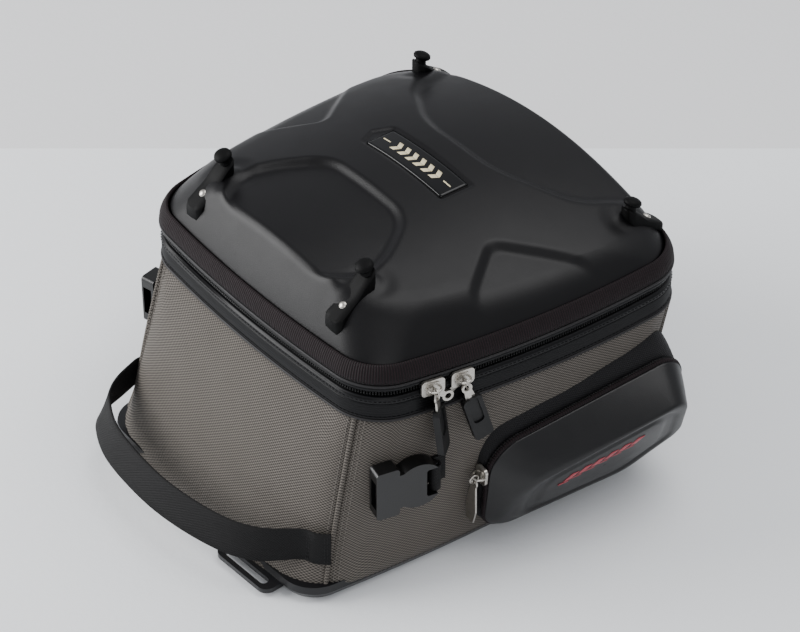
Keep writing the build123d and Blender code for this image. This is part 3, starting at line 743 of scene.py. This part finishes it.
SKIRT = -0.055           # the walls hang a little over the tray: this share of their height
SKIRT_TOP = 0.16         # the share of their height where the walls' spread at the foot has died out
RIGHT_REAR, RIGHT_FRONT = (seam_places(*seam) for seam in SEAMS)
LEFT_REAR, LEFT_FRONT = (seam_places(*((-x, y) for x, y in seam)) for seam in SEAMS)


def waviness(points, size, seed):
    """Repeatable soft noise from -1 to 1 at each point."""
    flat = points.reshape(-1, 3) / size + seed
    return np.array([noise.noise(Vector(p)) for p in flat]).reshape(points.shape[:-1])


def swell(made, held, pressure, cap):
    """Cloth simulation under pressure: held points stay, the rest move by no more than about cap."""
    scene = bpy.context.scene
    group = made.vertex_groups.new(name="held")
    group.add([int(k) for k in held], 1.0, "REPLACE")
    cloth = made.modifiers.new("cloth", "CLOTH")
    cloth.settings.vertex_group_mass = "held"
    cloth.settings.use_pressure = True
    cloth.settings.uniform_pressure_force = pressure
    cloth.settings.effector_weights.gravity = 0.0
    cloth.point_cache.frame_start, cloth.point_cache.frame_end = 1, 20
    for number in range(1, 21):
        scene.frame_set(number)
    shown = made.evaluated_get(bpy.context.evaluated_depsgraph_get())
    count = len(made.data.vertices)
    after, before = np.zeros(count * 3), np.zeros(count * 3)
    shown.data.vertices.foreach_get("co", after)
    made.data.vertices.foreach_get("co", before)
    moved = (after - before).reshape(-1, 3)
    far = np.linalg.norm(moved, axis=1, keepdims=True)
    limited = moved * np.where(far > 1e-9, cap * np.tanh(far / cap) / np.maximum(far, 1e-9), 0)
    made.modifiers.remove(cloth)
    made.vertex_groups.remove(group)
    made.data.vertices.foreach_set("co", (before + limited.ravel()).astype(np.float32))
    made.data.update()
    scene.frame_set(1)


def unwrapped(spots):
    """A seam's two places, with the second on the same lap of the outline as the first."""
    first, last = spots
    if abs(first - last) > AROUND / 2:
        last += AROUND if first > last else -AROUND
    return first, last


def wall_panel(name, node, start, end, puff, cap, foot_out):
    """One padded wall from seam to seam: crowned cloth outside, held along its seams."""
    foot = (end[0] - start[0]) % AROUND
    head = (end[1] - start[1]) % AROUND
    columns, lines = int(max(foot, head) / 1.6), 30
    rise, share = np.meshgrid(np.linspace(SKIRT, 1, lines), np.linspace(0, 1, columns), indexing="ij")
    first, last = unwrapped(start)
    places = (first + foot * share) * (1 - rise) + (last + head * share) * rise
    length = 2.7 * max(foot, head)
    above = np.clip(rise, 0, 1)
    border = np.minimum(np.minimum(share, 1 - share) * length, np.minimum(rise - SKIRT, 1 - rise) * 131)
    crown = (np.sin(math.pi * share) * np.sin(math.pi * above ** 0.8)) ** 0.7
    spread = foot_out * (1 - step(rise, SKIRT, SKIRT_TOP))
    out = -1.2 + 1.2 * (1 - np.exp(-border / 3.5)) + puff * crown + spread
    outer = wall_points(places, rise, out)
    ripple = waviness(outer, 0.045, 3.7) + 0.5 * waviness(outer, 0.018, 9.1)
    outer = wall_points(places, rise, out + 0.9 * ripple * (1 - np.exp(-border / 12)))
    inner = wall_points(places, rise, np.full_like(out, -4.6))
    points, faces, uv = shell_parts(outer, inner)
    made = piece(build_mesh(name, points, faces, uv), GREY_NYLON, None)
    size = lines * columns
    edge = np.ones((lines, columns), bool)
    edge[1:-1, 1:-1] = False
    held = np.concatenate([np.flatnonzero(edge.ravel()), np.arange(size, 2 * size)])
    swell(made, held, 4.0, cap)
    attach(made, "bag_body")
    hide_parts(node)


wall_panel("rear_wall_padding", "rear_panel", LEFT_REAR, RIGHT_REAR, 2.5, 0.004, 4.5)
wall_panel("right_wall_padding", "right_panel", RIGHT_REAR, RIGHT_FRONT, 0.4, 0.0015, 3.6)
wall_panel("front_wall_padding", "front_panel", RIGHT_FRONT, LEFT_FRONT, 2.0, 0.004, 4.0)
wall_panel("left_wall_padding", "left_panel", LEFT_FRONT, LEFT_REAR, 0.4, 0.0015, 3.6)


# ---------------- corner seams
def seam_line(spots, shift, out):
    """A line up a seam, moved along the wall by shift places, and its outward normals."""
    rise = np.linspace(SKIRT, 1.0, 60)
    first, last = unwrapped(spots)
    places = first + (last - first) * rise + shift
    away = out + 3.6 * (1 - step(rise, SKIRT, SKIRT_TOP))
    line = wall_points(places, rise, away)
    facing = unit(wall_points(places, rise, away + 1.0) - line)
    return line, facing


def tube(name, lines, radius, sides=8):
    """Round cords along lines of (points, normals)."""
    turns = np.arange(sides) * 2 * math.pi / sides
    parts = []
    for line, facing in lines:
        tangent = unit(np.gradient(line, axis=0))
        side = unit(np.cross(tangent, facing))
        up = np.cross(side, tangent)
        rows = line[:, None] + radius * (up[:, None] * np.cos(turns)[None, :, None]
                                         + side[:, None] * np.sin(turns)[None, :, None])
        quads, r, c = grid_faces(len(line), sides, True, False)
        parts.append((rows.reshape(-1, 3), quads, grid_corners(rows, r, c)))
    return build_mesh(name, *merged(parts))


ALL_SEAMS = (RIGHT_REAR, RIGHT_FRONT, LEFT_FRONT, LEFT_REAR)
piece(tube("corner_piping_cords", [seam_line(s, 0, -0.2) for s in ALL_SEAMS], 0.0019), GREY_NYLON,
      "bag_body", "corner_piping", slot="edge_piping")
stitch_lines = [seam_line(s, shift, 0.15) for s in ALL_SEAMS for shift in (-2.1, 2.1, 3.6)]
piece(beads("seam_stitching", stitch_lines, 0.0042, 0.003, 0.00035), GREY_THREAD, "bag_body")


# ---------------- linings and the lid's cloth hinge
def lining_rows_of(out):
    """Rows of the body's lining from the floor's middle out and up the walls."""
    rows = []
    middle = np.array([0.0, -25.0])
    for share in (0.01, 0.3, 0.6, 0.85, 0.97):
        plan = middle + (FLOOR_LINE - middle) * share * 0.94
        rows.append(np.column_stack([plan, np.full(AROUND, 15.0 + 0.2 * out)]) * MM)
    index = np.arange(AROUND, dtype=float)
    for rise in np.linspace(0.03, 1.1, 20):
        full = np.full(AROUND, rise)
        base = wall_points(index, full, np.full(AROUND, out))
        ripple = 0.8 * waviness(base, 0.05, 5.3) * (1 if rise < 1 else 0.2)
        rows.append(wall_points(index, full, out + ripple))
    return np.array(rows)


body_lining = np.concatenate([lining_rows_of(-6.2)[::-1], lining_rows_of(-7.1)])
ring("body_lining_cloth", body_lining[::-1], LINING, "bag_body", "body_lining", slot="lining_fabric")

front_half = np.flatnonzero(RIM_LINE[:, 1] > 140)
hinge_plan, hinge_facing = RIM_LINE[front_half], normals_of(RIM_LINE)[front_half]
hinge_out = [(-4.6, 150), (-4.6, 158), (-4.6, 164), (-4.3, 168.5), (-4.6, 173), (-5.0, 180)]


def hinge_rows(extra):
    """The hinge cloth's rows, at a distance further in."""
    return np.array([np.column_stack([hinge_plan + hinge_facing * (out - extra), np.full(len(hinge_plan), z)])
                     for out, z in hinge_out]) * MM


hinge_points, hinge_quads, hinge_uv = shell_parts(hinge_rows(0), hinge_rows(0.8))
hinge_cloth = piece(build_mesh("lid_hinge_cloth", hinge_points, hinge_quads, hinge_uv), LINING, None)
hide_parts("lid_hinge_strip")
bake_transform(hinge_cloth)


# ---------------- carry handle
# The strap's free bow between its sewn ends, in plan.
HANDLE_BOW = [(-113, -194), (-97, -210), (-60, -225), (0, -231), (55, -222), (88, -206)]
STRAP_LIFT = (4.0, 2.5)  # how far the strap's middle line stands above its CAD solid's, left and right
STRAP_LEAN = 1.6         # how far the wall's slope tips the strap's edges where it is sewn


def smooth_line(points, steps=14):
    """A curve through points, with evenly eased turns."""
    points = np.array(points, float)
    ends = np.vstack([2 * points[0] - points[1], points, 2 * points[-1] - points[-2]])
    found = []
    for k in range(1, len(ends) - 2):
        a, b, c, d = ends[k - 1:k + 3]
        for t in np.arange(steps) / steps:
            found.append(0.5 * (2 * b + (c - a) * t + (2 * a - 5 * b + 4 * c - d) * t ** 2
                                + (3 * b - a - 3 * c + d) * t ** 3))
    return np.array(found + [points[-1]])


def strap_end(places, out):
    """Plan points where the strap is sewn to the bag: places along the outline and distances out."""
    return wall_points(np.array(places), np.full(len(places), 0.2), np.array(out))[:, :2] / MM


def strap_line():
    """The whole strap's plan line: sewn end, free bow and sewn end."""
    left = strap_end([LEFT_REAR[0] - 1, LEFT_REAR[0] + 2], [0.5, 4.0])
    far = strap_end([RIGHT_REAR[0] - reach for reach in (11, 6, 1.5)], [4.6, 4.2, 3.6])
    return smooth_line(np.vstack([left, HANDLE_BOW, far]))


def strap_lift(share):
    """How far the strap stands above its CAD solid at a share of its run from the left."""
    return STRAP_LIFT[1] + (STRAP_LIFT[0] - STRAP_LIFT[1]) * (1 - share)


def handle_mesh():
    """The webbing strap: a flat woven band with softly rounded edges that cups a little as it bows."""
    low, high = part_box("carry_handle")
    line = strap_line()
    run = measured(line) / measured(line)[-1]
    ahead = unit(np.gradient(line, axis=0))
    facing = np.stack([ahead[:, 1], -ahead[:, 0]], 1)
    free = step(run, 0.06, 0.2) * (1 - step(run, 0.8, 0.94))
    middle, half = (low.z + high.z) / 2 / MM, (high.z - low.z) / 2 / MM
    section = []
    inner_half = [(-1, -0.25), (-0.96, -1.0), (-0.5, -1.15), (0, -1.2), (0.5, -1.15), (0.96, -1.0), (1, -0.25)]
    for across, thick in inner_half + [(a, -b) for a, b in inner_half[::-1]]:
        cup = 1.1 * (across ** 2 - 0.4) * free
        sewn = STRAP_LEAN * across * (1 - free)
        lean = -(across + step(run, 0.15, 0.6)) * (3.0 + 3.5 * (1 - run)) * free - sewn
        plan = line + facing * (thick + cup + lean)[:, None]
        section.append(np.column_stack([plan, middle + strap_lift(run) + across * half]) * MM)
    return grid_mesh("handle_strap", np.array(section), closed_u=False, closed_v=True)


def strap_stitches():
    """Rows of stitches across the strap's right-hand sewn end."""
    low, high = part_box("carry_handle")
    line = strap_line()
    run = measured(line)
    ahead = unit(np.gradient(line, axis=0))
    rows = []
    for reach in (2.5, 4.5, 16.0, 18.0):
        place = run[-1] - reach
        along = at(place, run, ahead)
        out = np.array([along[1], -along[0]])
        heights = np.linspace(low.z + 0.002, high.z - 0.002, 12) + strap_lift(place / run[-1]) * MM
        plan = at(place, run, line) + out * (1.25 + STRAP_LEAN * np.linspace(1, -1, 12))[:, None]
        rows.append((np.column_stack([plan * MM, heights]), np.tile([*out, 0.0], (12, 1))))
    return beads("strap_stitching", rows, 0.0032, 0.0023, 0.00032)


strap = piece(handle_mesh(), WEBBING, None, "carry_handle", "handle_end_tabs", slot="webbing")
for held in (strap, piece(strap_stitches(), THREAD, None)):
    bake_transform(held)


# ---------------- side pockets
POCKET_ORIGIN = np.array([150.5, 0.0, 0.0])
POCKET_ALONG = unit(np.array([0.079, 0.997, 0.0]))
POCKET_OUT = unit(np.array([0.99, -0.0785, -0.1]))
POCKET_UP = np.cross(POCKET_OUT, POCKET_ALONG)
POCKET_CORNERS = [(-48, 17), (-48, 97), (122, 117), (127, 42), (82, 17)]
POCKET_RADII = [18, 28, 22, 18, 40]
FACE_CORNERS = [(-28, 2), (-28, 54), (108, 87), (119, 32), (78, 2)]
FACE_RADII = [14, 20, 16, 14, 30]
FACE_FOOT = POCKET_ORIGIN + POCKET_OUT * 9 + POCKET_UP * 17
FACE_OUT = unit(POCKET_OUT - 0.32 * POCKET_UP)
FACE_UP = np.cross(FACE_OUT, POCKET_ALONG)
POCKET_STEPS = 200


def rounded_outline(corners, radii):
    """A clockwise polygon with rounded corners, as evenly spaced points in anticlockwise order."""
    corners = np.array(corners, float)
    points = []
    for k, radius in enumerate(radii):
        before, here, after = corners[k - 1], corners[k], corners[(k + 1) % len(corners)]
        one, two = unit(before - here), unit(after - here)
        half = math.acos(np.clip(one @ two, -1, 1)) / 2
        reach = radius / math.tan(half)
        centre = here + unit(one + two) * radius / math.sin(half)
        points.append(np.vstack([arc_points(centre, radius, here + one * reach, here + two * reach, 12),
                                 here + two * reach]))
    line = np.vstack([*points, points[0][:1]])
    run = measured(line)
    return at(np.linspace(0, run[-1], POCKET_STEPS, endpoint=False), run, line)[::-1]


def plane_map(origin, up, outward):
    """A function that places (along, up) points on a plane of the pocket, at distances out from it."""
    def place(flat, out):
        out = np.broadcast_to(np.asarray(out, float), flat.shape[:-1])[..., None]
        return origin + flat[..., :1] * POCKET_ALONG + flat[..., 1:] * up + out * outward
    return place


pocket_point = plane_map(POCKET_ORIGIN, POCKET_UP, POCKET_OUT)     # on the pocket's zip, in millimetres
face_point = plane_map(FACE_FOOT, FACE_UP, FACE_OUT)               # on the cover's tilted face


def wall_reach(flat):
    """How far in from the zip the side wall lies behind each point of the pocket's outline."""
    side = (RIM_LINE[:, 0] > 60) & (np.abs(RIM_LINE[:, 1]) < 160)
    found = np.full(len(flat), -40.0)
    for out in np.arange(-40, 0, 0.5):
        x, y, z = pocket_point(flat, out).T
        rise = np.clip((z - WALL_LOW) / (WALL_HIGH - WALL_LOW), 0, 1)
        low = np.interp(y, FLOOR_LINE[side][:, 1], FLOOR_LINE[side][:, 0])
        high = np.interp(y, RIM_LINE[side][:, 1], RIM_LINE[side][:, 0])
        found = np.where(x < low + (high - low) * rise + 0.2, out, found)
    return found


POCKET_LINE = rounded_outline(POCKET_CORNERS, POCKET_RADII)
FACE_LINE = rounded_outline(FACE_CORNERS, FACE_RADII)
POCKET_FACING = normals_of(POCKET_LINE)


def pocket_rows(profile):
    """Rows round the pocket from a profile of (beyond its outline, out from its zip)."""
    return np.array([pocket_point(POCKET_LINE + POCKET_FACING * wide, out) for wide, out in profile]) * MM


def gusset_rows():
    """The pocket's cloth sides: from the wall out to the zip, a little full between them."""
    deep = wall_reach(POCKET_LINE) - 1.0
    rows = []
    for share in np.linspace(0, 1, 14):
        full = 1.6 * math.sin(math.pi * share) ** 0.8
        sink = -0.9 * step(share, 0.86, 1.0)
        out = deep + (-0.8 - deep) * share
        flare = 11.0 * np.clip(POCKET_FACING[:, 1:] * 1.15 - 0.15, 0, 1) * (1 - share) ** 1.2
        rows.append(pocket_point(POCKET_LINE + POCKET_FACING * (full + sink + flare), out))
    rows = np.array(rows)
    rows += 0.5 * waviness(rows, 18.0, 2.2)[..., None] * (POCKET_ALONG * 0.3 + POCKET_UP * 0.6)
    inner = np.array([pocket_point(POCKET_LINE - POCKET_FACING * 2.2, deep + (-0.8 - deep) * share)
                      for share in (1.0, 0.5, 0.0)])
    return np.concatenate([rows, inner]) * MM


COVER_SHARES = np.concatenate([np.linspace(0, 1, 22), np.linspace(1, 2, 40)[1:]])


def cover_rows(drop, shares):
    """Rows of the moulded cover from its bound edge over the face's rim to its middle."""
    edge = pocket_point(POCKET_LINE - POCKET_FACING * (0.4 + 0.4 * drop), 5.0)
    rim = face_point(FACE_LINE, 0.0)
    middle = rim.mean(0)
    plane = (rim - middle) @ FACE_OUT
    rows = []
    for share in shares:
        if share <= 1:
            base = edge + (rim - edge) * share
            level = (base - middle) @ FACE_OUT
            flank = level + 1.8 * math.sin(math.pi * share)
        else:
            base = rim + (middle - rim) * (share - 1) * 0.995
            level = plane * (2 - share)
            flank = level + 60 * (share - 1)
        crown = 1.6 * step(share, 1.0, 1.7) - 1.3 * (step(share, 1.10, 1.16) - step(share, 1.24, 1.32))
        height = soft_min(np.full(POCKET_STEPS, crown), flank, 3.2)
        rows.append(base + FACE_OUT * (height - level - drop * min(1.0, 3 * share))[:, None])
    return np.array(rows) * MM


def mirror_rows(rows):
    """The same rows on the bag's left, wound so that they still face outwards."""
    return (rows * np.array([-1, 1, 1]))[:, ::-1]


def pocket_line(wide, out, sign):
    """A closed line round the pocket and its normals, for beads to follow."""
    line = pocket_rows([(wide, out)])[0]
    facing = POCKET_FACING[:, :1] * POCKET_ALONG + POCKET_FACING[:, 1:] * POCKET_UP
    return tuple(closed_line(v) * np.array([sign, 1, 1]) for v in (line, facing))


def face_surface(sign):
    """A function that lays flat points on a cover's face."""
    def place(a, b, lift):
        points = face_point(np.stack([a, b], -1), 1.55 + lift) * MM
        return points * np.array([sign, 1, 1])
    return place


binding_section = [(-2.4, 1.1), (-0.6, 1.1), (0.5, 1.5), (0.9, 3.0), (0.5, 4.5), (-0.6, 5.2), (-2.0, 5.4),
                   (-2.6, 4.8), (-2.6, 3.0)]
zip_section = [(-2.2, -0.8), (-0.9, -0.8), (-1.3, -0.1), (-1.3, 0.3), (-0.9, 1.0), (-2.2, 1.0)]
cover_outer = cover_rows(0.0, COVER_SHARES)
cover_inner = cover_rows(2.6, COVER_SHARES[::3])[::-1]
pocket_bars = [slanted(8 + 11 * k, 40 + 2.6 * k, 6.0, 7.5, 6) for k in range(6)]
pocket_bars += [slanted(4 + 11 * k, 37.2 + 2.6 * k, 8.5, 1.2, 0.8) for k in range(6)]

for sign, side in ((1, "right"), (-1, "left")):
    turn = (lambda rows: rows) if sign == 1 else mirror_rows
    cover = f"{side}_pocket_cover"
    gusset = ring(f"pocket_gusset_cloth_{side}", turn(gusset_rows()), BLACK_CLOTH,
                  "bag_body", f"pocket_gusset_{side}", slot="pocket_fabric")
    ring(f"pocket_zip_tape_{side}", turn(pocket_rows(zip_section)), COIL,
         "bag_body", f"pocket_zip_{side}", slot="zip_coil")
    teeth = f"pocket_zip_teeth_{side}"
    piece(beads(teeth, [pocket_line(-1.0, 0.1, sign)], 0.0019, 0.0016, 0.0006, across=True), COIL, "bag_body")
    ring(f"pocket_edge_binding_{side}", turn(pocket_rows(binding_section)), BINDING_TAPE,
         cover, f"pocket_binding_{side}", slot="ribbed_binding")
    ring(f"pocket_cover_moulding_{side}", turn(np.concatenate([cover_outer, cover_inner])), POCKET_SKIN,
         cover, f"pocket_cover_{side}", slot="moulded_shell")
    for name, wide, out, body in (("pocket_binding_stitches", 0.75, 2.0, cover),
                                  ("pocket_gusset_stitches", 1.1, -5.0, "bag_body")):
        piece(beads(f"{name}_{side}", [pocket_line(wide, out, sign)], 0.003, 0.0021, 0.00028), THREAD, body)
    bars = bar_mesh(f"pocket_inlay_{side}", pocket_bars, face_surface(sign), -0.4, 0.25)
    if sign < 0:
        bars.flip_normals()
    piece(bars, RED, cover)


# ---------------- floor, light and camera
VIEW_TURN, VIEW_RISE = math.radians(52), math.radians(38)
VIEW_DISTANCE = 2.1739
AIM = Vector((0, 0.011, 0.236))
AIM_RIGHT, AIM_UP = 0.0122, 0.1136      # how far the aimed-at point stands from the middle of the view
BACKDROP = 0.36                          # where the floor gives way to the backdrop's tone, behind the bag

back = Vector((math.sin(VIEW_TURN) * math.cos(VIEW_RISE), -math.cos(VIEW_TURN) * math.cos(VIEW_RISE),
               math.sin(VIEW_RISE)))
right = Vector((math.cos(VIEW_TURN), math.sin(VIEW_TURN), 0))
up = back.cross(right)


def placed(name, data, spot, toward):
    """Put a camera or light at a spot, facing away from a direction."""
    made = bpy.data.objects.new(name, data)
    bpy.context.scene.collection.objects.link(made)
    made.location = spot
    made.rotation_mode = "QUATERNION"
    made.rotation_quaternion = toward.to_track_quat("Z", "Y")
    return made


def make_camera():
    data = bpy.data.cameras.new("camera")
    data.lens, data.sensor_width = 135.0, 36.0
    spot = AIM + back * VIEW_DISTANCE - right * AIM_RIGHT - up * AIM_UP
    bpy.context.scene.camera = placed("camera", data, spot, back)


def make_floor():
    """A wide pale floor whose tone changes along one line behind the bag, as where a wall begins."""
    look = Look("pale_floor")
    axes = look.axes()
    behind = look.math("ADD", look.math("MULTIPLY", axes[0], -math.sin(VIEW_TURN)),
                       look.math("MULTIPLY", axes[1], math.cos(VIEW_TURN)))
    edge = look.math("GREATER_THAN", behind, BACKDROP)
    look.colour(look.mix(edge, tone(236, 238, 240), tone(222, 222, 223)))
    look.rough(look.noise(0.05), 0.6, 0.75)
    look.relief(look.noise(0.006, 4.0), 0.0002)
    size = 12.0
    corners = [(-size, -size, 0), (size, -size, 0), (size, size, 0), (-size, size, 0)]
    piece(build_mesh("floor", corners, [(0, 1, 2, 3)]), look.material, None)


def make_light(name, direction, distance, size, power):
    data = bpy.data.lights.new(name, "AREA")
    data.shape, data.size, data.energy = "DISK", size, power
    toward = Vector(direction).normalized()
    placed(name, data, toward * distance, toward)


make_camera()
make_floor()
for light in (("window", (-0.62, -0.70, 0.42), 2.6, 1.9, 90), ("ceiling", (0.1, 0.35, 1.0), 2.8, 2.4, 50),
              ("fill", (0.8, -0.5, 0.6), 3.0, 1.8, 14)):
    make_light(*light)
world = bpy.data.worlds.new("soft_room")
world.use_nodes = True
sky = world.node_tree.nodes["Background"]
sky.inputs["Color"].default_value = (0.93, 0.95, 1.0, 1.0)
sky.inputs["Strength"].default_value = 0.62
bpy.context.scene.world = world
